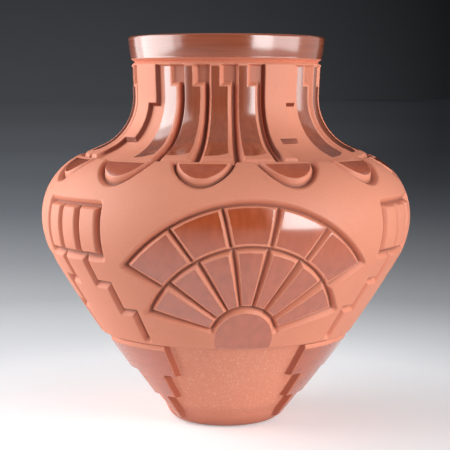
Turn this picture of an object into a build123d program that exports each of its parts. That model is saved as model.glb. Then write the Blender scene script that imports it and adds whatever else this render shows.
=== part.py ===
from build123d import *
from math import atan2, cos, degrees, hypot, radians, sin, sqrt
import os

os.makedirs("parts", exist_ok=True)

# A carved red pueblo jar, built up from a pressed base and rings of coiled clay.
# Sizes are in millimetres and degrees. A wall length runs up the outer skin from the ground.
# Bearings are seen from above: 0 is the front, at -Y, and they grow towards +X.

# Form of the jar
FOOT_EDGE_RADIUS = 56.0
FOOT_ROUND = 30.0
LOWER_WALL_ROUND = 1200.0
BELLY_RADIUS = 183.0
BELLY_HEIGHT = 206.0
BELLY_LOWER_ROUND = 80.0
SHOULDER_ROUND = 65.0
SHOULDER_LEAN = 66.0
NECK_RADIUS = 92.7
NECK_ROUND = 52.0
NECK_FLARE = 2.5
NECK_STRAIGHT = 34.5
WALL = 12.0
FLOOR = 14.0
FLOOR_ROUND = 24.0

# Rim, the groove under it and the groove at the foot of the neck
RIM_RADIUS = 97.0
RIM_HEIGHT = 22.0
LIP_ROUND = 2.5
GROOVE_WIDTH = 6.0
GROOVE_DEPTH = 3.8
NECK_GROOVE_WIDTH = 7.4
NECK_GROOVE_DEPTH = 4.2

# Courses of clay, met at lapped seams that run down towards the inside
BASE_WALL = 53.0
FOOT_BAND = 125.2
NECK_BAND = 114.0
FOOT_COILS = 2
BELLY_COILS = 6
NECK_COILS = 3
LAP = 7.0

# Carving, cut square into the skin
CARVE_DEPTH = 6.0
CARVE_CLEARANCE = 6.0

# Foot: sunk fields between polished panels that narrow downwards in steps
FIELD_START = 20.0
FIELD_TIER = 32.3
PANEL_BEARINGS = (-45.5, 57.5, 186.0)
PANEL_WIDTHS = (8.0, 23.0, 39.0)

# Neck: groups of notched flutes, each group beside a panel with a stepped edge
NECK_GROUPS = 4
FLUTES = 4
FLUTE_START = -41.0
FLUTE_PITCH = 15.9
FLUTE_FACE = 12.9
FLUTE_GROOVE = 3.7
FLUTE_TOP_GAP = 3.6
FIRST_FLUTE_DEPTH = 3.2
NOTCH_WIDTH = 4.8
NOTCH_HEIGHT = 18.0
STEP_WIDTHS = (20.0, 10.0, 3.0)

# Belly: rayed half suns in a ring of plates, with stepped clouds and feathers between them
SUNS = 3
SUN_BEARING = 8.0
SUN_HEIGHT = 103.0
SUN_HUB = 27.0
SUN_RADIUS = 92.0
RAYS = 7
RAY_PITCH = 21.2
RAY_GAP = 6.0
PLATES = 5
PLATE_PITCH = 23.0
PLATE_WIDTH = 33.0
LINE_WIDTH = 7.0
CLOUD_WIDTHS = (34.0, 22.0, 10.0)
CLOUD_TIER = 31.0
FEATHERS = 3
FEATHER_PITCH = 9.0
FEATHER_TOP = 274.0

# Shoulder: scallops that hang from the neck
SCALLOPS = 12
SCALLOP_RADIUS = 24.0
SCALLOP_LINE = 5.0


# Places worked out from the driving sizes, each as a radius and a height
lean = radians(SHOULDER_LEAN)
shoulder_width = BELLY_RADIUS - NECK_RADIUS
round_limit = 0.95 * shoulder_width / (1 - cos(lean)) / (SHOULDER_ROUND + NECK_ROUND)
shoulder_round = SHOULDER_ROUND * min(1, round_limit)
neck_round = NECK_ROUND * min(1, round_limit)
belly_centre = (BELLY_RADIUS - BELLY_LOWER_ROUND, BELLY_HEIGHT)
shoulder_centre = (BELLY_RADIUS - shoulder_round, BELLY_HEIGHT)
slope_width = shoulder_width - (shoulder_round + neck_round) * (1 - cos(lean))
slope_rise = slope_width / sin(lean) * cos(lean)
neck_centre = (
    NECK_RADIUS + neck_round,
    BELLY_HEIGHT + (shoulder_round + neck_round) * sin(lean) + slope_rise,
)

# The lower wall is an arc that starts at the foot's edge and runs smoothly into the belly
foot_to_belly = hypot(belly_centre[0] - FOOT_EDGE_RADIUS, belly_centre[1])
inner_reach = LOWER_WALL_ROUND - BELLY_LOWER_ROUND
chord = (LOWER_WALL_ROUND**2 - inner_reach**2 + foot_to_belly**2) / (2 * foot_to_belly)
offset_across = sqrt(LOWER_WALL_ROUND**2 - chord**2)
across_r = (belly_centre[0] - FOOT_EDGE_RADIUS) / foot_to_belly
across_z = belly_centre[1] / foot_to_belly
lower_centre = (
    FOOT_EDGE_RADIUS + chord * across_r - offset_across * across_z,
    chord * across_z + offset_across * across_r,
)
belly_start = degrees(
    atan2(belly_centre[1] - lower_centre[1], belly_centre[0] - lower_centre[0])
)


def on_circle(centre, radius, angle):
    """Point of a circle in the radius and height plane."""
    return (
        centre[0] + radius * cos(radians(angle)),
        centre[1] + radius * sin(radians(angle)),
    )


def arc(centre, radius, start, end):
    """Arc of such a circle, drawn in the active line."""
    ends = [on_circle(centre, radius, angle) for angle in (start, (start + end) / 2, end)]
    return ThreePointArc(*ends)


def wall_line(inset, floor, corner):
    """Outline of the jar from its floor to the rim, set in by a distance from the outer skin."""
    reach = LOWER_WALL_ROUND - inset
    corner_height = floor + corner
    corner_radius = lower_centre[0] + sqrt(
        (reach - corner) ** 2 - (corner_height - lower_centre[1]) ** 2
    )
    wall_start = degrees(
        atan2(corner_height - lower_centre[1], corner_radius - lower_centre[0])
    )
    foot = arc((corner_radius, corner_height), corner, -90, wall_start)
    arc(lower_centre, reach, wall_start, belly_start)
    arc(belly_centre, BELLY_LOWER_ROUND - inset, belly_start, 0)
    shoulder = arc(shoulder_centre, shoulder_round - inset, 0, SHOULDER_LEAN)
    neck_start = on_circle(neck_centre, neck_round + inset, 180 + SHOULDER_LEAN)
    neck_end = on_circle(neck_centre, neck_round + inset, 180 - NECK_FLARE)
    Line(shoulder @ 1, neck_start)
    arc(neck_centre, neck_round + inset, 180 + SHOULDER_LEAN, 180 - NECK_FLARE)
    flare = radians(NECK_FLARE)
    top = (neck_end[0] + NECK_STRAIGHT * sin(flare), neck_end[1] + NECK_STRAIGHT * cos(flare))
    straight = Line(neck_end, top)
    return foot @ 0, straight @ 1, top[1]


def form_face(inset, floor, corner, mode=Mode.ADD):
    """Half section of the solid form inside such an outline, in the active sketch."""
    with BuildLine() as outline:
        start, end, height = wall_line(inset, floor, corner)
        Polyline(start, (0, floor), (0, height), end)
    make_face(outline.edges(), mode=mode)


with BuildLine(Plane.XZ) as skin_line:
    wall_line(0, 0, FOOT_ROUND)
skin = skin_line.wire()


def skin_point(length, inset=0.0):
    """Radius and height at a wall length, set in square to the skin."""
    point = skin @ (length / skin.length)
    rise = skin % (length / skin.length)
    return (point.X - inset * rise.Z, point.Z + inset * rise.X)


groove_length = skin.length - GROOVE_WIDTH / 2
neck_start_length = groove_length - NECK_BAND
neck_base_radius = skin_point(neck_start_length)[0]


def cross_line(length, lap):
    """Ends of a line through the wall, a little past both faces, that drops by a lap inside."""
    outer = skin_point(length)
    inner = skin_point(length - lap, WALL)
    past = CARVE_CLEARANCE / WALL
    over_r = (outer[0] - inner[0]) * past
    over_z = (outer[1] - inner[1]) * past
    return (outer[0] + over_r, outer[1] + over_z), (inner[0] - over_r, inner[1] - over_z)


def band_face(low, high, lap, mode=Mode.INTERSECT):
    """Strip across the wall between two wall lengths, in the active sketch."""
    low_outer, low_inner = cross_line(low, lap)
    high_outer, high_inner = cross_line(high, lap)
    Polygon(low_outer, high_outer, high_inner, low_inner, align=None, mode=mode)


def wall_face():
    """Half section of the whole wall and floor, in the active sketch."""
    form_face(0, 0, FOOT_ROUND)
    form_face(WALL, FLOOR, FLOOR_ROUND, mode=Mode.SUBTRACT)


def carve_patch(low, high, start, end, depth=CARVE_DEPTH):
    """Slab of skin between two wall lengths and two bearings, in the active part."""
    with BuildSketch(Plane.XZ.rotated((0, 0, start - 90))) as section:
        band_face(low, high, 0, mode=Mode.ADD)
        form_face(depth, depth, FOOT_ROUND - depth, mode=Mode.SUBTRACT)
    revolve(section.sketch, axis=Axis.Z, revolution_arc=end - start)


# Body of clay that the carving leaves untouched
with BuildPart() as carve_core:
    with BuildSketch(Plane.XZ):
        form_face(CARVE_DEPTH, CARVE_DEPTH, FOOT_ROUND - CARVE_DEPTH)
    revolve(axis=Axis.Z)

# Sunk fields of the foot, which widen downwards in steps
with BuildPart() as foot_carving:
    next_bearings = PANEL_BEARINGS[1:] + (PANEL_BEARINGS[0] + 360,)
    for tier, width in enumerate(PANEL_WIDTHS):
        low = FIELD_START + tier * FIELD_TIER
        high = FOOT_BAND + LAP if width == PANEL_WIDTHS[-1] else low + FIELD_TIER
        for bearing, next_bearing in zip(PANEL_BEARINGS, next_bearings):
            carve_patch(low, high, bearing + width / 2, next_bearing - width / 2)

# One group of flutes: a groove and a notch right of each, the first sunk, and the steps left of it
with BuildPart() as flute_group:
    flute_top = groove_length - FLUTE_TOP_GAP
    flute_low = neck_start_length - LAP
    first_end = FLUTE_START + FLUTE_FACE
    carve_patch(flute_low, flute_top, FLUTE_START, first_end, FIRST_FLUTE_DEPTH)
    for flute in range(FLUTES):
        groove_start = FLUTE_START + flute * FLUTE_PITCH + FLUTE_FACE
        groove_end = groove_start + FLUTE_GROOVE
        carve_patch(flute_low, flute_top - NOTCH_HEIGHT, groove_start, groove_end)
        carve_patch(flute_top - NOTCH_HEIGHT, flute_top, groove_start - NOTCH_WIDTH, groove_end)
    step_tier = (flute_top - neck_start_length) / len(STEP_WIDTHS)
    for tier, width in enumerate(STEP_WIDTHS):
        low = flute_low if tier == 0 else neck_start_length + tier * step_tier
        high = neck_start_length + (tier + 1) * step_tier
        carve_patch(low, high, FLUTE_START - width, FLUTE_START)

with BuildPart() as neck_carving:
    with PolarLocations(0, NECK_GROUPS):
        add(flute_group.part)


def fan_face(count, pitch, gap):
    """Trims the active sketch to a fan of a number of equal fields above the sun's centre."""
    half_spread = radians((count * pitch + gap) / 2)
    far = 2 * (SUN_RADIUS + PLATE_WIDTH + LINE_WIDTH)
    Polygon(
        (0, SUN_HEIGHT),
        (far * sin(half_spread), SUN_HEIGHT + far * cos(half_spread)),
        (0, SUN_HEIGHT + far),
        (-far * sin(half_spread), SUN_HEIGHT + far * cos(half_spread)),
        align=None,
        mode=Mode.INTERSECT,
    )


# One half sun: sunk rings and gaps that leave a hub, its rays and a ring of plates standing
with BuildPart() as sun:
    with BuildSketch(Plane.XZ.offset(NECK_RADIUS)):
        with Locations((0, SUN_HEIGHT)):
            Circle(SUN_RADIUS)
            Circle(SUN_RADIUS - LINE_WIDTH, mode=Mode.SUBTRACT)
            Circle(SUN_HUB + LINE_WIDTH)
            Circle(SUN_HUB, mode=Mode.SUBTRACT)
            ray_spread = RAYS * RAY_PITCH
            with PolarLocations(0, RAYS + 1, 90 - ray_spread / 2, ray_spread, endpoint=True):
                gap_slope = sin(radians(RAY_GAP / 2))
                gap_start = SUN_HUB + LINE_WIDTH / 2
                gap_end = SUN_RADIUS - LINE_WIDTH / 2
                Polygon(
                    (gap_start, -gap_start * gap_slope),
                    (gap_end, -gap_end * gap_slope),
                    (gap_end, gap_end * gap_slope),
                    (gap_start, gap_start * gap_slope),
                    align=None,
                )
        fan_face(RAYS, RAY_PITCH, RAY_GAP)
    with BuildSketch(Plane.XZ.offset(NECK_RADIUS)):
        with Locations((0, SUN_HEIGHT)):
            plate_end = SUN_RADIUS + PLATE_WIDTH
            Circle(plate_end + LINE_WIDTH)
            Circle(plate_end, mode=Mode.SUBTRACT)
            plate_spread = PLATES * PLATE_PITCH
            with PolarLocations(
                SUN_RADIUS + PLATE_WIDTH / 2, PLATES + 1, 90 - plate_spread / 2, plate_spread, endpoint=True
            ):
                Rectangle(PLATE_WIDTH + LINE_WIDTH, LINE_WIDTH)
        fan_face(PLATES, PLATE_PITCH, degrees(LINE_WIDTH / plate_end))
    extrude(amount=BELLY_RADIUS)
    add(carve_core.part, mode=Mode.SUBTRACT)

# One stepped cloud on the ledge, drawn by a sunk line up its sides and over its steps
with BuildPart() as cloud:
    cloud_base = FOOT_BAND + LINE_WIDTH
    for tier, width in enumerate(CLOUD_WIDTHS):
        low = cloud_base + tier * CLOUD_TIER
        high = low + CLOUD_TIER
        line_angle = degrees(LINE_WIDTH / skin_point(high)[0])
        outside = width / 2 + line_angle
        inside = CLOUD_WIDTHS[tier + 1] / 2 if tier + 1 < len(CLOUD_WIDTHS) else 0
        carve_patch(low, high, width / 2, outside)
        carve_patch(low, high, -outside, -width / 2)
        carve_patch(high, high + LINE_WIDTH, inside, outside)
        carve_patch(high, high + LINE_WIDTH, -outside, -inside)

# Feathers that stand on each cloud, parted and closed off above by sunk lines
with BuildPart() as feather_row:
    feather_low = cloud_base + len(CLOUD_WIDTHS) * CLOUD_TIER
    row_half = FEATHERS * FEATHER_PITCH / 2
    line_half = degrees(LINE_WIDTH / BELLY_RADIUS) / 2
    for edge in range(FEATHERS + 1):
        line = edge * FEATHER_PITCH - row_half
        carve_patch(feather_low, FEATHER_TOP, line - line_half, line + line_half)
    for low in (feather_low, FEATHER_TOP):
        carve_patch(low, low + LINE_WIDTH, -row_half - line_half, row_half + line_half)

with BuildPart() as belly_carving:
    with PolarLocations(0, SUNS, SUN_BEARING):
        add(sun.part)
    with PolarLocations(0, SUNS, SUN_BEARING + 180 / SUNS):
        add(cloud.part)
        add(feather_row.part)

# Scallops round the shoulder, cut straight down outside the foot of the neck
with BuildPart() as shoulder_carving:
    with BuildSketch(Plane.XY.offset(BELLY_HEIGHT)):
        with PolarLocations(neck_base_radius, SCALLOPS, SUN_BEARING - 90 + 180 / SCALLOPS):
            Circle(SCALLOP_RADIUS + SCALLOP_LINE)
            Circle(SCALLOP_RADIUS, mode=Mode.SUBTRACT)
        Circle(neck_base_radius, mode=Mode.SUBTRACT)
    extrude(amount=neck_centre[1] - BELLY_HEIGHT)
    add(carve_core.part, mode=Mode.SUBTRACT)


def ring_groove(length, width, depth):
    """V groove all round the jar at a wall length, in the active part."""
    with BuildSketch(Plane.XZ) as section:
        Polygon(
            skin_point(length - width / 2),
            skin_point(length, -CARVE_CLEARANCE),
            skin_point(length + width / 2),
            skin_point(length, depth),
            align=None,
        )
    revolve(section.sketch, axis=Axis.Z)


# V groove between the neck and the rim
with BuildPart() as rim_groove:
    ring_groove(groove_length, GROOVE_WIDTH, GROOVE_DEPTH)

# V groove between the shoulder and the neck
with BuildPart() as neck_groove:
    ring_groove(neck_start_length, NECK_GROOVE_WIDTH, NECK_GROOVE_DEPTH)

# Base pressed into a dish: a flat foot, the floor and the start of the wall
with BuildPart() as puki_base:
    with BuildSketch(Plane.XZ):
        wall_face()
        base_outer, base_inner = cross_line(BASE_WALL, LAP)
        Polygon(
            (0, 0),
            (base_outer[0], 0),
            base_outer,
            base_inner,
            (0, base_inner[1]),
            align=None,
            mode=Mode.INTERSECT,
        )
    revolve(axis=Axis.Z)
    add(foot_carving.part, mode=Mode.SUBTRACT)
puki_base.part.label = "puki_base"
export_step(puki_base.part, "parts/puki_base.step")


def lay_coils(zone, count, low, high, carvings):
    """Rings of clay of one height each, one on the other, carved where the zone is carved."""
    rise = (high - low) / count
    for course in range(count):
        with BuildPart() as coil:
            with BuildSketch(Plane.XZ) as section:
                wall_face()
                band_face(low + course * rise, low + (course + 1) * rise, LAP)
            revolve(section.sketch, axis=Axis.Z)
            for carving in carvings:
                add(carving.part, mode=Mode.SUBTRACT)
        coil.part.label = f"{zone}_coil_{course + 1}"
        export_step(coil.part, f"parts/{coil.part.label}.step")


lay_coils("foot", FOOT_COILS, BASE_WALL, FOOT_BAND, [foot_carving])
belly_cuts = [belly_carving, shoulder_carving, neck_groove]
lay_coils("belly", BELLY_COILS, FOOT_BAND, neck_start_length, belly_cuts)
lay_coils("neck", NECK_COILS, neck_start_length, groove_length, [neck_carving, neck_groove, rim_groove])

# Polished lip, laid on the neck's lapped edge and open as a straight round mouth
with BuildPart() as rim_coil:
    with BuildSketch(Plane.XZ) as section:
        rim_foot = skin_point(skin.length)
        mouth_edge = skin_point(groove_length - LAP, WALL)
        rim_top = rim_foot[1] + RIM_HEIGHT
        Polygon(
            skin_point(groove_length),
            rim_foot,
            (RIM_RADIUS, rim_top),
            (mouth_edge[0], rim_top),
            mouth_edge,
            align=None,
        )
        fillet(section.vertices().group_by(Axis.Y)[-1], LIP_ROUND)
    revolve(axis=Axis.Z)
    add(rim_groove.part, mode=Mode.SUBTRACT)
rim_coil.part.label = "rim_coil"
export_step(rim_coil.part, "parts/rim_coil.step")
print(f"mouth radius {mouth_edge[0]:.3f} from {mouth_edge[1]:.3f} to {rim_top:.3f} mm high")
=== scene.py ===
from math import atan2, cos, degrees, hypot, pi, radians, sin, sqrt

import bpy
import numpy as np
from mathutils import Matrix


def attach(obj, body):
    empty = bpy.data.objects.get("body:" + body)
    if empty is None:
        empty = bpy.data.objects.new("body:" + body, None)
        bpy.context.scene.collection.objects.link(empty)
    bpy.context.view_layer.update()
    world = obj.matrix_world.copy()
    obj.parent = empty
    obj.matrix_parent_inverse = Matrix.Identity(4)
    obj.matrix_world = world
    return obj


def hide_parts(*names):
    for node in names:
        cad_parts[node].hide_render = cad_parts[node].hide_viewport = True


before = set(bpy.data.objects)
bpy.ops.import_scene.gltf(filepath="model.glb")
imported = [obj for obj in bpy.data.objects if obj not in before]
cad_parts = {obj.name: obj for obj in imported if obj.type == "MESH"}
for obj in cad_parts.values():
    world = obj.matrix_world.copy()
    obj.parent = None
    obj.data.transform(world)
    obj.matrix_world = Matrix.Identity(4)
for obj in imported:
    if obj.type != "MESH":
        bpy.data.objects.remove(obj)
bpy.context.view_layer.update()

# Base
# A pancake of red clay pressed into a shallow dish, flat below and round at the edge.
# The line of the wall starts here, and so do the stepped panels carved round the foot.
FOOT_EDGE_RADIUS = 0.056
FOOT_ROUND = 0.030
LOWER_WALL_ROUND = 1.2
BELLY_RADIUS = 0.183
BELLY_HEIGHT = 0.206
BELLY_LOWER_ROUND = 0.080
SHOULDER_ROUND = 0.065
SHOULDER_LEAN = 66
NECK_RADIUS = 0.0927
NECK_ROUND = 0.052
NECK_FLARE = 2.5
NECK_STRAIGHT = 0.0345
WALL = 0.012
FLOOR = 0.014
FLOOR_ROUND = 0.024
LAP = 0.007
BASE_WALL = 0.053
FOOT_BAND = 0.1252
COLUMNS = 1200
ARC_STEP = 0.0001
ROW = 0.0009
SEAM_ROW = 0.0002
INSIDE_ROW = 0.006
CORNER_STEP = 30
CARVE_DEPTH = 0.006
UNPOLISHED = -0.02
INSIDE_CUT = 0.5
WALL_EASE = 0.2
SAME_POINT = 1e-9
WELD = 1e-6


def arc(centre, radius, start, end, outward=1):
    """Points of an arc of the wall line: radius, height and the two parts of the outward normal."""
    count = max(int(radius * abs(radians(end - start)) / ARC_STEP), 8)
    turns = np.radians(np.linspace(start, end, count))
    ways = np.stack([np.cos(turns), np.sin(turns)], axis=1)
    return np.hstack([np.array(centre) + radius * ways, outward * ways])


def lower_wall():
    """Centre of the lower wall's arc, and the angle at which the belly's arc takes over."""
    belly = (BELLY_RADIUS - BELLY_LOWER_ROUND, BELLY_HEIGHT)
    reach = hypot(belly[0] - FOOT_EDGE_RADIUS, belly[1])
    inner = LOWER_WALL_ROUND - BELLY_LOWER_ROUND
    chord = (LOWER_WALL_ROUND**2 - inner**2 + reach**2) / (2 * reach)
    across = sqrt(LOWER_WALL_ROUND**2 - chord**2)
    way = ((belly[0] - FOOT_EDGE_RADIUS) / reach, belly[1] / reach)
    centre = (
        FOOT_EDGE_RADIUS + chord * way[0] - across * way[1],
        chord * way[1] + across * way[0],
    )
    start = degrees(atan2(belly[1] - centre[1], belly[0] - centre[0]))
    return centre, start


def foot_corner(inset, floor, corner):
    """Centre of the round corner where the floor turns up into the lower wall, and where it ends."""
    centre, _ = lower_wall()
    height = floor + corner
    reach = LOWER_WALL_ROUND - inset - corner
    radius = centre[0] + sqrt(reach**2 - (height - centre[1]) ** 2)
    return (radius, height), degrees(atan2(height - centre[1], radius - centre[0]))


def wall_line():
    """The outer skin from the ground to the rim: wall lengths, points and outward normals."""
    lower_centre, belly_start = lower_wall()
    corner, wall_start = foot_corner(0, 0, FOOT_ROUND)
    lean = radians(SHOULDER_LEAN)
    rounds = SHOULDER_ROUND + NECK_ROUND
    slope = (BELLY_RADIUS - NECK_RADIUS - rounds * (1 - cos(lean))) / sin(lean)
    neck_height = BELLY_HEIGHT + rounds * sin(lean) + slope * cos(lean)
    neck_centre = (NECK_RADIUS + NECK_ROUND, neck_height)
    belly_centre = (BELLY_RADIUS - BELLY_LOWER_ROUND, BELLY_HEIGHT)
    shoulder_centre = (BELLY_RADIUS - SHOULDER_ROUND, BELLY_HEIGHT)
    neck = arc(neck_centre, NECK_ROUND, 180 + SHOULDER_LEAN, 180 - NECK_FLARE, outward=-1)
    flare = radians(NECK_FLARE)
    top = neck[-1].copy()
    top[:2] += NECK_STRAIGHT * np.array([sin(flare), cos(flare)])
    line = np.vstack(
        [
            arc(corner, FOOT_ROUND, -90, wall_start),
            arc(lower_centre, LOWER_WALL_ROUND, wall_start, belly_start),
            arc(belly_centre, BELLY_LOWER_ROUND, belly_start, 0),
            arc(shoulder_centre, SHOULDER_ROUND, 0, SHOULDER_LEAN),
            neck,
            top[None],
        ]
    )
    steps = np.hypot(*np.diff(line[:, :2], axis=0).T)
    kept = np.append(True, steps > SAME_POINT)
    return np.append(0, np.cumsum(steps))[kept], line[kept]


skin_lengths, skin_line = wall_line()
TOP_LENGTH = skin_lengths[-1]


def skin_point(length, inset=0.0):
    """Radius and height of the wall at a length up the skin, set in square to it."""
    radius, height, out_r, out_z = (
        np.interp(length, skin_lengths, column) for column in skin_line.T
    )
    return radius - inset * out_r, height - inset * out_z


def bearing_gap(bearing, centre):
    """Bearing from a centre line in degrees, between -180 and 180. The front of the jar is at 0."""
    return (bearing - centre + 180) % 360 - 180


def climb(distance, width):
    """Share of a sloped carved wall climbed at a distance inside the edge of what stands up."""
    share = np.clip(distance / width + 0.5, 0, 1)
    return (1 - WALL_EASE) * share + WALL_EASE * share * share * (3 - 2 * share)


def groove(distance, half_width):
    """Share of a V groove's depth at a distance from its middle."""
    return climb(half_width / 2 - np.abs(distance), half_width)


def rows_between(low, high, row):
    """Wall lengths of the rows of a course. The outer side has a narrow row at each seam."""
    rows = np.linspace(low, high, max(int(round((high - low) / row)), 1) + 1)
    if row == ROW:
        first, last = rows[:1], rows[-1:]
        rows = np.concatenate([first, first + SEAM_ROW, rows[1:-1], last - SEAM_ROW, last])
    return rows


def lay_course(node, outline, skin_rows, relief, finish):
    """A ring of clay spun from its section and carved on its outer rows, in place of its node."""
    bpy.ops.object.select_all(action="DESELECT")
    bpy.ops.mesh.primitive_circle_add(vertices=len(outline), fill_type="NOTHING")
    course = bpy.context.object
    course.name = course.data.name = node + "_clay"
    start = np.zeros((len(outline), 3))
    start[:, 1] = outline[:, 0]
    start[:, 2] = outline[:, 1]
    course.data.vertices.foreach_set("co", start.ravel())
    turn = course.modifiers.new("once round the axis", "SCREW")
    turn.axis = "Z"
    turn.angle = 2 * pi
    turn.steps = turn.render_steps = COLUMNS
    turn.use_merge_vertices = True
    turn.merge_threshold = WELD
    bpy.ops.object.modifier_apply(modifier=turn.name)
    bpy.ops.object.mode_set(mode="EDIT")
    bpy.ops.mesh.select_all(action="SELECT")
    bpy.ops.mesh.remove_doubles(threshold=WELD)
    bpy.ops.mesh.delete_loose(use_verts=True, use_edges=True, use_faces=False)
    bpy.ops.mesh.select_all(action="SELECT")
    bpy.ops.mesh.normals_make_consistent(inside=False)
    bpy.ops.object.mode_set(mode="OBJECT")

    mesh = course.data
    points = np.empty(len(mesh.vertices) * 3)
    mesh.vertices.foreach_get("co", points)
    points = points.reshape(-1, 3)
    radius = np.hypot(points[:, 0], points[:, 1])
    miss = np.hypot(radius[:, None] - outline[:, 0], points[:, 2, None] - outline[:, 1])
    row = miss.argmin(axis=1)
    outer = row < len(skin_rows)
    bearing = np.degrees(np.arctan2(points[outer, 0], -points[outer, 1]))
    length = skin_rows[row[outer]]
    depth, polish, wall = relief(bearing, length)
    new_radius, new_height = skin_point(length, depth)
    points[outer, 0] = new_radius * np.sin(np.radians(bearing))
    points[outer, 1] = -new_radius * np.cos(np.radians(bearing))
    points[outer, 2] = new_height
    mesh.vertices.foreach_set("co", points.ravel())
    # The cut and wall layers also mask painted shade in the clay.
    layers = (
        ("polish", polish, UNPOLISHED),
        ("cut", depth / CARVE_DEPTH, INSIDE_CUT),
        ("wall", wall, 0.0),
    )
    for name, values, plain in layers:
        field = np.full(len(points), plain)
        field[outer] = values
        mesh.attributes.new(name, "FLOAT", "POINT").data.foreach_set("value", field)

    bpy.ops.object.shade_smooth()
    ends = np.empty(len(mesh.edges) * 2, dtype=int)
    mesh.edges.foreach_get("vertices", ends)
    end_rows = row[ends].reshape(-1, 2)
    seam = np.isin(end_rows, (0, len(skin_rows) - 1)).all(axis=1)
    seam &= end_rows[:, 0] == end_rows[:, 1]
    mesh.attributes.new("sharp_edge", "BOOLEAN", "EDGE").data.foreach_set("value", seam)
    mesh.update()
    mesh.materials.clear()
    mesh.materials.append(finish)
    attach(course, "root")
    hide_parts(node)
    return course


PANEL_BEARINGS = (-45.5, 57.5, 186.0)
PANEL_WIDTHS = (8.0, 23.0, 39.0)
FIELD_START = 0.020
FIELD_TIER = 0.0323
FIELD_FADE = (0.008, 0.030)
FIELD_WALL = 0.004
LEDGE_WALL = 0.004
LEDGE_PLAIN = 0.004
LEDGE_LINE_HALF = 0.0035
LEDGE_LINE_DEPTH = 0.0022


def foot_relief(bearing, length):
    """Stepped polished panels between sunk fields, which run out into the round edge of the base."""
    radius, _ = skin_point(length)
    inside = np.full(len(bearing), -1.0)
    for centre in PANEL_BEARINGS:
        aside = np.abs(bearing_gap(bearing, centre))
        for tier, width in enumerate(PANEL_WIDTHS):
            side = np.radians(width / 2 - aside) * radius
            above = length - FIELD_START - tier * FIELD_TIER
            inside = np.maximum(inside, np.minimum(side, above))
    sunk = 1 - climb(inside, FIELD_WALL)
    fade = np.clip((length - FIELD_FADE[0]) / (FIELD_FADE[1] - FIELD_FADE[0]), 0, 1)
    ledge = climb(FOOT_BAND - length, LEDGE_WALL)
    depth = CARVE_DEPTH * sunk * fade * fade * (3 - 2 * fade) * ledge
    line = groove(FOOT_BAND - length, LEDGE_LINE_HALF)
    depth = np.maximum(depth, LEDGE_LINE_DEPTH * line)
    polish = np.minimum(inside - FIELD_WALL / 2, FOOT_BAND - LEDGE_PLAIN - length)
    # Where the sloped walls stand, for painted shade on them.
    wall = np.clip(1 - 2 * np.abs(inside) / FIELD_WALL, 0, 1) * fade
    return depth, polish, wall


CLAY_COLOURS = ((0.66, 0.222, 0.131), (0.75, 0.271, 0.164))
GRAIN_COLOUR = (0.80, 0.34, 0.225)
MICA_COLOUR = (0.92, 0.62, 0.48)
# Painted shade: the colour that the clay in deep cuts is darkened towards.
PAINTED_SHADE_COLOUR = (0.20, 0.055, 0.032)
# Painted shade: the colour the clay darkens to towards the ground, and the height it reaches.
PAINTED_GROUND_SHADE = (0.42, 0.13, 0.08)
PAINTED_GROUND_SHADE_HEIGHT = 0.026
FIRING_SCALE = 7
BRUSH_SCALE = 160
BRUSH_WANDER = 0.0008
MICA_SCALE = 640
GRAIN_SCALE = 900
GRAIN_DEPTH = 0.0004


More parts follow.
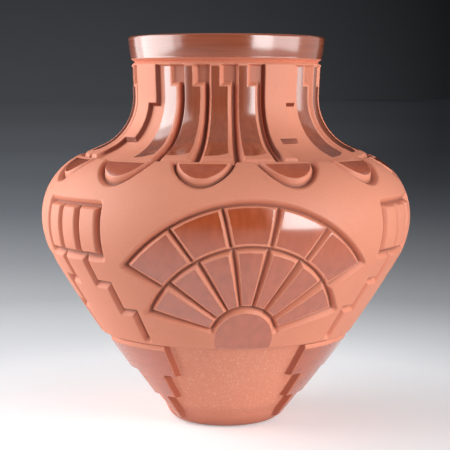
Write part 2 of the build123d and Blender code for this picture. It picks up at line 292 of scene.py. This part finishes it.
def fired_clay(name, streaks, slips, shade, mica=0, walls=None, coat=1.0):
    """Scraped red clay with a fine grain, and burnished slip where the carving is polished.

    Streaks are the slip's marks along each axis, slips its two colours, and coat its gloss. Shade is
    the cut, as shares of the carving's depth, over which a groove is darkened with painted shade. Mica
    is the strength of the specks in what is sunk, and walls the colour of painted shade on the sloped
    walls of panels and steps.
    """
    clay = bpy.data.materials.new(name)
    clay.use_nodes = True
    nodes = clay.node_tree.nodes
    links = clay.node_tree.links
    shader = nodes["Principled BSDF"]
    place = nodes.new("ShaderNodeTexCoord").outputs["Object"]

    def noise(scale, detail, source=place):
        cloud = nodes.new("ShaderNodeTexNoise")
        cloud.inputs["Scale"].default_value = scale
        cloud.inputs["Detail"].default_value = detail
        links.new(source, cloud.inputs["Vector"])
        return cloud.outputs["Fac"]

    def reach(source, low, high, start=0.0, end=1.0):
        span = nodes.new("ShaderNodeMapRange")
        ends = {"From Min": low, "From Max": high, "To Min": start, "To Max": end}
        for socket, value in ends.items():
            span.inputs[socket].default_value = value
        links.new(source, span.inputs["Value"])
        return span.outputs["Result"]

    def sum_of(kind, first, second):
        step = nodes.new("ShaderNodeMath")
        step.operation = kind
        for socket, value in zip(step.inputs, (first, second)):
            if isinstance(value, float):
                socket.default_value = value
            else:
                links.new(value, socket)
        return step.outputs["Value"]

    def blend(share, first, second, kind="RGBA"):
        mix = nodes.new("ShaderNodeMix")
        mix.data_type = kind
        socket_type = "RGBA" if kind == "RGBA" else "VALUE"
        pair = [socket for socket in mix.inputs if socket.type == socket_type][-2:]
        links.new(share, mix.inputs["Factor"])
        for socket, value in zip(pair, (first, second)):
            if isinstance(value, tuple):
                socket.default_value = (*value, 1)
            else:
                links.new(value, socket)
        return [socket for socket in mix.outputs if socket.type == socket_type][-1]

    def carved(field):
        layer = nodes.new("ShaderNodeAttribute")
        layer.attribute_name = field
        return layer.outputs["Fac"]

    brush = sum_of("MULTIPLY", sum_of("SUBTRACT", noise(BRUSH_SCALE, 2), 0.5), BRUSH_WANDER)
    polished = reach(sum_of("ADD", carved("polish"), brush), -0.0002, 0.0004)

    turned = nodes.new("ShaderNodeMapping")
    turned.inputs["Scale"].default_value = streaks
    links.new(place, turned.inputs["Vector"])
    streak = noise(1, 6, turned.outputs["Vector"])
    grain = noise(GRAIN_SCALE, 3)
    firing = noise(FIRING_SCALE, 4)

    matte = blend(reach(firing, 0.3, 0.7), *CLAY_COLOURS)
    matte = blend(reach(grain, 0.35, 0.7, 0, 0.35), matte, GRAIN_COLOUR)
    sunk = carved("cut")
    if mica:
        speck = reach(noise(MICA_SCALE, 2), 0.56, 0.70, 0, mica)
        matte = blend(sum_of("MULTIPLY", speck, reach(sunk, 0.5, 0.9)), matte, MICA_COLOUR)
    # Painted shade: the clay darkens towards the bottom of deep cuts, where shade falls.
    matte = blend(reach(sunk, *shade, 0, 0.85), matte, PAINTED_SHADE_COLOUR)
    # Painted shade on the sloped walls of panels and steps.
    if walls:
        matte = blend(reach(carved("wall"), 0, 0.4), matte, walls)
    # Painted shade: the clay is darker towards the ground, where it nears the floor.
    sides = nodes.new("ShaderNodeSeparateXYZ")
    links.new(place, sides.inputs["Vector"])
    matte = blend(reach(sides.outputs["Z"], 0, PAINTED_GROUND_SHADE_HEIGHT, 0.9, 0), matte, PAINTED_GROUND_SHADE)
    slip = blend(reach(streak, 0.3, 0.7), *slips)
    links.new(blend(polished, matte, slip), shader.inputs["Base Color"])

    sheen = reach(streak, 0.3, 0.75, 0.17, 0.27)
    rough = reach(grain, 0.3, 0.7, 0.50, 0.66)
    links.new(blend(polished, rough, sheen, "FLOAT"), shader.inputs["Roughness"])
    links.new(sum_of("MULTIPLY", polished, coat), shader.inputs["Coat Weight"])
    shader.inputs["Coat Roughness"].default_value = 0.15
    shader.inputs["Coat IOR"].default_value = 1.75

    relief = blend(polished, grain, sum_of("MULTIPLY", streak, 0.25), "FLOAT")
    bump = nodes.new("ShaderNodeBump")
    bump.inputs["Strength"].default_value = 0.35
    bump.inputs["Distance"].default_value = GRAIN_DEPTH
    links.new(relief, bump.inputs["Height"])
    links.new(bump.outputs["Normal"], shader.inputs["Normal"])
    return clay


RED_SLIP = ((0.41, 0.075, 0.022), (0.51, 0.099, 0.032))
foot_clay = fired_clay(
    "foot clay",
    streaks=(60, 60, 240),
    slips=RED_SLIP,
    shade=(1.2, 2.0),
    mica=0.45,
    # walls: painted shade on the sloped walls of the foot's panels
    walls=(0.42, 0.092, 0.042),
    coat=0.65,
)
base_rows = rows_between(0, BASE_WALL, ROW)
inner_corner, inner_start = foot_corner(WALL, FLOOR, FLOOR_ROUND)
base_inside = np.stack(skin_point(np.array([BASE_WALL - LAP]), WALL), axis=1)
base_floor = arc(inner_corner, FLOOR_ROUND, inner_start, -90)[::CORNER_STEP, :2]
base_outline = np.vstack(
    [
        np.stack(skin_point(base_rows), axis=1),
        base_inside,
        base_floor,
        [(inner_corner[0] * 0.5, FLOOR), (0, FLOOR), (0, 0)],
        [(skin_line[0, 0] * share, 0) for share in (0.4, 0.8)],
    ]
)
lay_course("puki_base", base_outline, base_rows, foot_relief, foot_clay)

# Foot coils
# Two ropes of clay laid on the base, pinched down and scraped thin up to the ledge of the belly.
# The panels of the base run on up them.
FOOT_COILS = 2


def coil_section(low, high):
    """Section of a course: its outer rows, then down the inside of the wall behind lapped seams."""
    rows = rows_between(low, high, ROW)
    inside = rows_between(low - LAP, high - LAP, INSIDE_ROW)[::-1]
    outer_side = np.stack(skin_point(rows), axis=1)
    inner_side = np.stack(skin_point(inside, WALL), axis=1)
    return np.vstack([outer_side, inner_side]), rows


def lay_coils(zone, count, low, high, relief, finish):
    """Courses of one height each, one on the other."""
    rise = (high - low) / count
    for course in range(count):
        outline, rows = coil_section(low + course * rise, low + (course + 1) * rise)
        lay_course(f"{zone}_coil_{course + 1}", outline, rows, relief, finish)


lay_coils("foot", FOOT_COILS, BASE_WALL, FOOT_BAND, foot_relief, foot_clay)

# Belly coils
# Six courses that swell out to the shoulder and draw in to the neck.
# Half suns in rings of plates, stepped clouds, feathers and hanging scallops are carved into them.
GROOVE_WIDTH = 0.006
GROOVE_LENGTH = TOP_LENGTH - GROOVE_WIDTH / 2
NECK_BAND = 0.114
NECK_START = GROOVE_LENGTH - NECK_BAND
NECK_BASE_RADIUS = skin_point(NECK_START)[0]
BELLY_COILS = 6
SUNS = 3
SUN_BEARING = 8.0
SUN_HEIGHT = 0.103
SUN_HUB = 0.027
SUN_RADIUS = 0.092
RAYS = 7
RAY_PITCH = 21.2
RAY_GAP = 5.0
RAY_GAP_EASE = 0.0006
RAY_TILT = 0.0016
RAY_TILT_MARGIN = 0.002
PLATES = 5
PLATE_PITCH = 23.0
PLATE_WIDTH = 0.033
PLATE_TILT = 0.0022
LINE_WIDTH = 0.007
LINE_HALF = 0.0037
BOLD_HALF = 0.0048
CLOUD_WIDTHS = (34.0, 22.0, 10.0)
CLOUD_TIER = 0.031
FEATHERS = 3
FEATHER_PITCH = 9.0
FEATHER_TOP = 0.2775
SCALLOPS = 12
SCALLOP_RADIUS = 0.024
SCALLOP_LINE = 0.005
SCALLOP_LOWEST = 0.25
NECK_PLAIN = 0.007
NECK_LINE_SHARE = 0.7
LEDGE_LINE_SHARE = 0.44
LEDGE_CLEAR = 0.007
LEDGE_RUN_OUT = 0.005
EDGE = 0.0003


def bar(along, across, low, high):
    """Distance from a straight line that runs from low to high along one way."""
    return np.hypot(across, np.maximum(np.maximum(low - along, along - high), 0))


def belly_relief(bearing, length):
    """V grooves round suns, plates, clouds, feathers and scallops.

    Hubs, rays, plates and scallops are polished.
    """
    radius, height = skin_point(length)
    share = np.zeros(len(bearing))
    tilt = np.zeros(len(bearing))
    polish = np.full(len(bearing), UNPOLISHED)
    for sun in range(SUNS):
        turn = np.radians(bearing_gap(bearing, SUN_BEARING + sun * 360 / SUNS))
        across = np.where(np.cos(turn) > 0, radius * np.sin(turn), 1.0)
        up = height - SUN_HEIGHT
        reach = np.hypot(across, up)
        angle = np.degrees(np.arctan2(across, up))

        ray_half = RAYS * RAY_PITCH / 2
        past_fan = np.radians(np.maximum(np.abs(angle) - ray_half, 0)) * reach
        hub_line = SUN_HUB + LINE_WIDTH / 2
        ray_end = SUN_RADIUS - LINE_WIDTH / 2
        for ring in (hub_line, ray_end):
            share = np.maximum(share, groove(np.hypot(reach - ring, past_fan), LINE_HALF))
        ray = np.minimum(reach - hub_line - LINE_HALF, ray_end - LINE_HALF - reach)
        for gap in range(RAYS + 1):
            aside = np.radians(angle - (gap * RAY_PITCH - ray_half))
            gap_half = np.radians(RAY_GAP / 2) * reach + RAY_GAP_EASE
            off = bar(reach * np.cos(aside), reach * np.sin(aside), hub_line, ray_end)
            share = np.maximum(share, groove(off, gap_half))
            ray = np.minimum(ray, off - gap_half)
        ray = np.where(np.abs(angle) < ray_half, ray, UNPOLISHED)
        in_ray = (angle + ray_half) % RAY_PITCH / RAY_PITCH - 0.5
        lean = np.clip(0.5 + in_ray * np.sign(angle), 0, 1)
        tilt = np.where(ray > -RAY_TILT_MARGIN, RAY_TILT * lean, tilt)
        hub = hub_line - LINE_HALF - reach
        polish = np.maximum(polish, np.maximum(ray, hub) - EDGE)

        plate_half = PLATES * PLATE_PITCH / 2
        plate_end = SUN_RADIUS + PLATE_WIDTH
        plate_line = plate_end + LINE_WIDTH / 2
        in_plates = np.abs(angle) < plate_half
        on_plates = in_plates & (reach > ray_end) & (reach < plate_line)
        lean = np.clip((plate_end - reach) / PLATE_WIDTH, 0, 1)
        tilt = np.where(on_plates, PLATE_TILT * lean, tilt)
        past_plates = np.radians(np.maximum(np.abs(angle) - plate_half, 0)) * reach
        plate = np.minimum(reach - ray_end, plate_line - reach) - LINE_HALF
        share = np.maximum(share, groove(np.hypot(reach - plate_line, past_plates), LINE_HALF))
        for edge in range(PLATES + 1):
            aside = np.radians(angle - (edge * PLATE_PITCH - plate_half))
            off = bar(reach * np.cos(aside), reach * np.sin(aside), SUN_RADIUS, plate_line)
            share = np.maximum(share, groove(off, LINE_HALF))
            plate = np.minimum(plate, off - LINE_HALF)
        polish = np.maximum(polish, np.where(in_plates, plate - EDGE, UNPOLISHED))

        beside = bearing_gap(bearing, SUN_BEARING + (sun + 0.5) * 360 / SUNS)
        cloud = np.full(len(bearing), -1.0)
        for tier, width in enumerate(CLOUD_WIDTHS):
            side = np.radians(width / 2 - np.abs(beside)) * radius
            below = FOOT_BAND + LINE_WIDTH + (tier + 1) * CLOUD_TIER - length
            cloud = np.maximum(cloud, np.minimum(side, below))
        share = np.maximum(share, groove(cloud + LINE_WIDTH / 2, BOLD_HALF))

        cloud_top = FOOT_BAND + LINE_WIDTH * 1.5 + len(CLOUD_WIDTHS) * CLOUD_TIER
        feather_half = FEATHERS * FEATHER_PITCH / 2
        for edge in range(FEATHERS + 1):
            aside = np.radians(beside - edge * FEATHER_PITCH + feather_half) * radius
            share = np.maximum(share, groove(bar(length, aside, cloud_top, FEATHER_TOP), BOLD_HALF))
        row_end = np.radians(feather_half) * radius
        for line in (cloud_top, FEATHER_TOP):
            off = bar(np.radians(beside) * radius, length - line, -row_end, row_end)
            share = np.maximum(share, groove(off, BOLD_HALF))

    east = radius * np.sin(np.radians(bearing))
    north = -radius * np.cos(np.radians(bearing))
    scallop_line = SCALLOP_RADIUS + SCALLOP_LINE / 2
    nearest = np.full(len(bearing), 1.0)
    for scallop in range(SCALLOPS):
        turn = radians(SUN_BEARING + (scallop + 0.5) * 360 / SCALLOPS)
        centre_east = NECK_BASE_RADIUS * sin(turn)
        centre_north = -NECK_BASE_RADIUS * cos(turn)
        off = np.hypot(east - centre_east, north - centre_north)
        nearest = np.minimum(nearest, np.where(length > SCALLOP_LOWEST, off, 1.0))
    share = np.maximum(share, groove(nearest - scallop_line, LINE_HALF))
    scallop_face = scallop_line - LINE_HALF - EDGE - nearest
    polish = np.maximum(polish, np.minimum(scallop_face, NECK_START - NECK_PLAIN - length))
    share = np.maximum(share, groove(NECK_START - length, LINE_HALF) * NECK_LINE_SHARE)
    share = share * climb(length - FOOT_BAND - LEDGE_CLEAR, LEDGE_RUN_OUT)
    share = np.maximum(share, groove(FOOT_BAND - length, LEDGE_LINE_HALF) * LEDGE_LINE_SHARE)
    return np.maximum(CARVE_DEPTH * share, tilt), polish, np.zeros(len(bearing))


belly_clay = fired_clay(
    "belly clay",
    streaks=(150, 150, 60),
    slips=RED_SLIP,
    # painted shade in the belly's V grooves
    shade=(0.45, 1.0),
)
lay_coils("belly", BELLY_COILS, FOOT_BAND, NECK_START, belly_relief, belly_clay)

# Neck coils
# Three courses drawn in to the neck, cut into groups of notched flutes.
# A plain panel with a stepped edge stands between the groups.
NECK_COILS = 3
NECK_GROUPS = 4
FLUTES = 4
FLUTE_START = -41.0
FLUTE_PITCH = 15.9
FLUTE_TOP = GROOVE_LENGTH - 0.0036
FLUTE_TOP_WALL = 0.0015
FLUTE_TOP_PLAIN = 0.001
FLUTE_FOOT_PLAIN = 0.010
FLUTE_FOOT_RISE = 0.005
FLUTE_FOOT_LEVEL = 2
FLUTE_FOOT_BEND = 9
FLUTE_FACE = (1.4, 11.0)
FIRST_FACE_START = 0.9
FLUTE_GROOVE = (12.7, 13.5, 15.0)
FACE_DROPS = (
    (0.0047, 0.0043, 0.0020),
    (0.0049, 0.0008, 0.0003),
    (0.0049, 0.0008, 0.0003),
    (0.0049, 0.0005, 0.0006),
)
GROOVE_DROPS = (0.0016, 0.0068, 0.0076, 0.0049)
STEP_DROP = 0.0047
NOTCH_START = 6.2
NOTCH_HEIGHT = 0.020
NOTCH_WALL = 0.004
STEP_WIDTHS = (20.0, 10.0, 3.0)
STEP_WALL = 0.0032
STEP_WALL_FADE = (0.004, 0.020)
PANEL_LEFT = 64.0
PANEL_SIDE = 5
GROOVE_DEPTH = 0.0038


def rim_groove(length):
    """Depth of the V groove between the neck and the rim."""
    off = np.abs(length - GROOVE_LENGTH)
    return np.clip(1 - off / (GROOVE_WIDTH / 2), 0, 1) * GROOVE_DEPTH


def neck_relief(bearing, length):
    """Polished flutes that overlap like shingles, each with a notch, beside a panel with steps."""
    radius, _ = skin_point(length)
    turn = (bearing - FLUTE_START) % (360 / NECK_GROUPS)
    flute = np.floor(turn / FLUTE_PITCH)
    place = turn - flute * FLUTE_PITCH
    across = np.radians(1.0) * radius

    corners = (0, *FLUTE_FACE, *FLUTE_GROOVE, FLUTE_PITCH)
    depth = np.zeros(len(bearing))
    for number, drops in enumerate(FACE_DROPS):
        depth = np.where(flute == number, np.interp(place, corners, (*drops, *GROOVE_DROPS)), depth)
    above_notch = length - FLUTE_TOP + NOTCH_HEIGHT
    notch = np.minimum((place - NOTCH_START) * across, above_notch)
    beside_notch = climb(above_notch - NOTCH_WALL / 2, NOTCH_WALL)
    depth = depth - beside_notch * np.maximum(depth - CARVE_DEPTH, 0)
    depth = np.maximum(depth, CARVE_DEPTH * climb(notch - NOTCH_WALL / 2, NOTCH_WALL))

    face_start = np.where(flute > 0, FLUTE_FACE[0], FIRST_FACE_START)
    foot_bend = np.clip((place - FLUTE_FOOT_LEVEL) / FLUTE_FOOT_BEND, 0, 1)
    above_foot = length - NECK_START - FLUTE_FOOT_PLAIN - FLUTE_FOOT_RISE * foot_bend**3
    below_top = FLUTE_TOP - FLUTE_TOP_PLAIN - length
    polish = np.minimum(place - face_start, FLUTE_FACE[1] - place) * across
    for inside in (-notch, above_foot, below_top):
        polish = np.minimum(polish, inside)

    step_rise = (FLUTE_TOP - NECK_START) / len(STEP_WIDTHS)
    right = np.full(len(bearing), -1.0)
    for tier, width in enumerate(STEP_WIDTHS):
        side = (360 / NECK_GROUPS - width - turn) * across
        above = length - NECK_START - tier * step_rise if tier else np.ones(len(bearing))
        right = np.maximum(right, np.minimum(side, above))
    panel = np.minimum((turn - PANEL_LEFT) * across, right)
    drop = np.where(turn < PANEL_LEFT + PANEL_SIDE, max(GROOVE_DROPS), STEP_DROP)
    on_flute = turn < FLUTES * FLUTE_PITCH
    depth = np.where(on_flute, depth, drop * (1 - climb(panel, STEP_WALL)))
    polish = np.where(on_flute, polish, UNPOLISHED)
    # Where the sloped walls of the panel and steps stand, for painted shade on them.
    wall = np.where(on_flute, 0, np.clip(1 - 2 * np.abs(panel) / STEP_WALL, 0, 1))

    under_rim = climb(FLUTE_TOP - length, FLUTE_TOP_WALL)
    wall = wall * under_rim * np.interp(length - NECK_START, STEP_WALL_FADE, (0, 1))
    depth = depth * under_rim
    base_line = groove(NECK_START - length, LINE_HALF) * NECK_LINE_SHARE * CARVE_DEPTH
    depth = np.maximum(np.maximum(depth, base_line), rim_groove(length))
    return depth, polish, wall


BROWN_SLIP = ((0.28, 0.062, 0.024), (0.37, 0.089, 0.038))
# Painted shade in the deep grooves of the neck and rim, as shares of the carving's depth.
NECK_PAINTED_SHADE = (0.82, 1.25)
neck_clay = fired_clay(
    "neck clay",
    streaks=(260, 260, 9),
    slips=BROWN_SLIP,
    shade=NECK_PAINTED_SHADE,
    # walls: painted shade on the sloped walls of the neck's panel and steps
    walls=(0.21, 0.032, 0.010),
)
lay_coils("neck", NECK_COILS, NECK_START, GROOVE_LENGTH, neck_relief, neck_clay)

# Rim coil
# The last course, laid on the neck's lapped edge above a V groove, trimmed level.
# It is slipped all over and burnished round and round with a smooth stone.
RIM_RADIUS = 0.097
RIM_HEIGHT = 0.022
RIM_SWELL = 0.0004
RIM_ROWS = 22
LIP_ROUND = 0.0025
LIP_STEP = 4
MOUTH_ROWS = 7
GROOVE_ROWS = 6
SLIP_INSIDE = 0.030


def rim_relief(bearing, length):
    """The upper half of the V groove. Above it the whole rim is polished."""
    return rim_groove(length), length - TOP_LENGTH, np.zeros(len(length))


rim_clay = fired_clay(
    "rim slip",
    streaks=(14, 14, 420),
    slips=BROWN_SLIP,
    shade=NECK_PAINTED_SHADE,
)
groove_rows = np.linspace(GROOVE_LENGTH, TOP_LENGTH, GROOVE_ROWS)
rim_foot = skin_line[-1, :2]
rim_top = rim_foot[1] + RIM_HEIGHT
mouth_radius, mouth_foot = skin_point(np.array(GROOVE_LENGTH - LAP), WALL)
lip_foot = rim_top - LIP_ROUND
lip_out = arc((RIM_RADIUS - LIP_ROUND, lip_foot), LIP_ROUND, 0, 90)[::LIP_STEP, :2]
lip_in = arc((mouth_radius + LIP_ROUND, lip_foot), LIP_ROUND, 90, 180)[::LIP_STEP, :2]
rim_side = np.linspace(rim_foot, (RIM_RADIUS, lip_foot), RIM_ROWS)[1:-1]
rim_side[:, 0] += RIM_SWELL * np.sin(np.linspace(0, pi, len(rim_side)))
mouth_side = np.linspace((mouth_radius, lip_foot), (mouth_radius, mouth_foot), MOUTH_ROWS)[1:]
groove_side = np.stack(skin_point(groove_rows), axis=1)
rim_outline = np.vstack([groove_side, rim_side, lip_out, lip_in, mouth_side])
rim = lay_course("rim_coil", rim_outline, groove_rows, rim_relief, rim_clay)
rim_heights = np.empty(len(rim.data.vertices) * 3)
rim.data.vertices.foreach_get("co", rim_heights)
rim_heights = rim_heights.reshape(-1, 3)[:, 2]
rim_polish = np.minimum(rim_heights - rim_foot[1], rim_heights - rim_top + SLIP_INSIDE)
rim.data.attributes["polish"].data.foreach_set("value", rim_polish)

# Floor, light and camera
# A pale floor that falls off into a dim room, both lighter on the left of the picture. On the floor
# this fall-off and the lighter left are painted light, in its colour and its glow.
# Two soft boxes stand on the left of the jar, and three on the right.
CAMERA_PLACE = (0.0214, -1.2998, 0.327)
CAMERA_DOWN = 5.84
CAMERA_ROLL = -0.15
CAMERA_TURN = 1.0
CAMERA_BACK = 1.3
LENS = 104
SENSOR = 36
PICTURE_SIDES = (-0.182, 0.148)
FLOOR_SIZE = 120
FAR_FLOOR = 40.0
# Painted light: the floor's colour falls off with the distance from the jar and cools farther out.
PAINTED_FLOOR_FALLOFF = (
    (0.0, 0.84),
    (0.3, 0.80),
    (0.38, 0.665),
    (0.5, 0.57),
    (0.75, 0.37),
    (1.2, 0.265),
    (2.3, 0.165),
    (3.65, 0.113),
    (6.2, 0.081),
    (14.4, 0.059),
    (FAR_FLOOR, 0.0485),
)
COOL_REACH = 2.25
COOL_RED_LOSS = 0.06
NEAR_BLUE = 1.01
COOL_BLUE_GAIN = 0.09
ROOM_TINT = (0.94, 1.0, 1.1, 1)

bpy.ops.object.select_all(action="DESELECT")
bpy.ops.mesh.primitive_plane_add(size=FLOOR_SIZE)
floor = bpy.context.object
floor.name = "floor"


def grey_span(tree, source, low, high, start, end, smooth=False):
    """A value that runs from start to end while its source runs from low to high."""
    span = tree.nodes.new("ShaderNodeMapRange")
    span.interpolation_type = "SMOOTHSTEP" if smooth else "LINEAR"
    ends = {"From Min": low, "From Max": high, "To Min": start, "To Max": end}
    for socket, value in ends.items():
        span.inputs[socket].default_value = value
    tree.links.new(source, span.inputs["Value"])
    return span.outputs["Result"]


def grey_sum(tree, kind, first, second):
    """One value worked out of two."""
    step = tree.nodes.new("ShaderNodeMath")
    step.operation = kind
    tree.links.new(first, step.inputs[0])
    tree.links.new(second, step.inputs[1])
    return step.outputs["Value"]


def grey_mix(tree, share, first, second):
    """A value that goes over from the first to the second as the share grows."""
    mix = tree.nodes.new("ShaderNodeMix")
    tree.links.new(share, mix.inputs["Factor"])
    tree.links.new(first, mix.inputs["A"])
    tree.links.new(second, mix.inputs["B"])
    return mix.outputs["Result"]


def fading_to_the_right(tree, way, start, end):
    """A value that falls faster and faster from the left of the picture to the right."""
    across = grey_span(tree, way, *PICTURE_SIDES, 0, 1)
    return grey_span(tree, grey_sum(tree, "MULTIPLY", across, across), 0, 1, start, end)


def seen_directly(tree):
    """One where the camera, a mirror image or glass sees a thing, nought for soft light."""
    rays = tree.nodes.new("ShaderNodeLightPath").outputs
    mirrored = grey_sum(tree, "MAXIMUM", rays["Is Glossy Ray"], rays["Is Transmission Ray"])
    return grey_sum(tree, "MAXIMUM", rays["Is Camera Ray"], mirrored)


paper = bpy.data.materials.new("pale floor")
paper.use_nodes = True
sheet = paper.node_tree
paper_place = sheet.nodes.new("ShaderNodeTexCoord").outputs["Object"]
paper_sides = sheet.nodes.new("ShaderNodeSeparateXYZ")
sheet.links.new(paper_place, paper_sides.inputs["Vector"])
paper_reach = sheet.nodes.new("ShaderNodeVectorMath")
paper_reach.operation = "LENGTH"
sheet.links.new(paper_place, paper_reach.inputs[0])
paper_fall = sheet.nodes.new("ShaderNodeValToRGB")
paper_ramp = paper_fall.color_ramp.elements
for reach, grey in PAINTED_FLOOR_FALLOFF:
    ends = {0.0: paper_ramp[0], FAR_FLOOR: paper_ramp[-1]}
    mark = ends[reach] if reach in ends else paper_ramp.new(reach / FAR_FLOOR)
    cool = min(reach / COOL_REACH, 1)
    red = grey * (1 - COOL_RED_LOSS * cool)
    blue = grey * (NEAR_BLUE + COOL_BLUE_GAIN * cool)
    mark.color = (red, grey, blue, 1)
paper_share = grey_span(sheet, paper_reach.outputs["Value"], 0, FAR_FLOOR, 0, 1)
sheet.links.new(paper_share, paper_fall.inputs["Fac"])
paper_shader = sheet.nodes["Principled BSDF"]
paper_shader.inputs["Roughness"].default_value = 0.9
sheet.links.new(paper_fall.outputs["Color"], paper_shader.inputs["Base Color"])
sheet.links.new(paper_fall.outputs["Color"], paper_shader.inputs["Emission Color"])
# Painted light: the floor's glow is lighter on the left of the picture and falls off away from the
# jar.
paper_x = paper_sides.outputs["X"]
paper_y = paper_sides.outputs["Y"]
paper_close = grey_span(sheet, paper_x, -0.3, 0.3, 0.36, 0.31)
paper_near = grey_span(sheet, paper_x, -1, 0.85, 0.8, 0.1, smooth=True)
paper_ahead = grey_span(sheet, paper_y, 0.5 - CAMERA_BACK, FAR_FLOOR, 0.5, FAR_FLOOR + CAMERA_BACK)
paper_way = grey_sum(sheet, "DIVIDE", paper_x, paper_ahead)
paper_far = fading_to_the_right(sheet, paper_way, 0.8, 0.07)
paper_away = grey_span(sheet, paper_reach.outputs["Value"], 0.25, 0.8, 0, 1, smooth=True)
paper_back = grey_span(sheet, paper_y, 1.5, 8, 0, 1, smooth=True)
paper_glow = grey_mix(sheet, paper_away, paper_close, paper_near)
paper_glow = grey_mix(sheet, paper_back, paper_glow, paper_far)
paper_glow = grey_sum(sheet, "MULTIPLY", paper_glow, seen_directly(sheet))
sheet.links.new(paper_glow, paper_shader.inputs["Emission Strength"])
floor.data.materials.append(paper)

room = bpy.data.worlds.new("studio room")
room.use_nodes = True
bpy.context.scene.world = room
walls = room.node_tree
walls_way = walls.nodes.new("ShaderNodeTexCoord").outputs["Generated"]
walls_sides = walls.nodes.new("ShaderNodeSeparateXYZ")
walls.links.new(walls_way, walls_sides.inputs["Vector"])
walls_up = walls_sides.outputs["Z"]
walls_across = fading_to_the_right(walls, walls_sides.outputs["X"], 0.0445, 0.0105)
walls_fall = grey_span(walls, walls_up, 0, 0.1, 1.19, 0.7)
walls_low = grey_sum(walls, "MULTIPLY", walls_across, walls_fall)
walls_top = grey_span(walls, walls_up, 0.15, 0.9, 0, 0.19, smooth=True)
walls_seen = grey_sum(walls, "ADD", walls_low, walls_top)
walls_soft = grey_span(walls, walls_up, 0.15, 0.9, 0.02, 0.15, smooth=True)
walls_grey = grey_mix(walls, seen_directly(walls), walls_soft, walls_seen)
walls.links.new(walls_grey, walls.nodes["Background"].inputs["Strength"])
walls.nodes["Background"].inputs["Color"].default_value = ROOM_TINT


def soft_box(name, bearing, distance, height, size, watts):
    """A rectangular soft light that stands at a bearing round the jar and looks level at its axis."""
    lamp = bpy.data.lights.new(name, "AREA")
    lamp.shape = "RECTANGLE"
    lamp.size, lamp.size_y = size
    lamp.energy = watts
    box = bpy.data.objects.new(name, lamp)
    bpy.context.scene.collection.objects.link(box)
    turn = radians(bearing)
    box.location = (distance * sin(turn), -distance * cos(turn), height)
    box.rotation_euler = (pi / 2, 0, turn)


soft_box("left soft box", -87, distance=1.25, height=0.56, size=(1.2, 1.25), watts=12.6)
soft_box("left soft edge", -91, distance=1.3, height=0.85, size=(2.2, 1.7), watts=25)
soft_box("right soft box", 42.3, distance=1.45, height=0.57, size=(0.62, 1.15), watts=15)
soft_box("right side panel", 72.8, distance=1.45, height=0.4, size=(0.96, 0.72), watts=7.7)
soft_box("right back panel", 113, distance=1.45, height=0.62, size=(1.2, 1.25), watts=2.2)

lens = bpy.data.cameras.new("camera")
lens.lens = LENS
lens.sensor_width = SENSOR
camera = bpy.data.objects.new("camera", lens)
bpy.context.scene.collection.objects.link(camera)
camera.location = CAMERA_PLACE
camera.rotation_euler = (radians(90 - CAMERA_DOWN), radians(CAMERA_ROLL), radians(CAMERA_TURN))
bpy.context.scene.camera = camera
bpy.context.scene.view_settings.view_transform = "Standard"
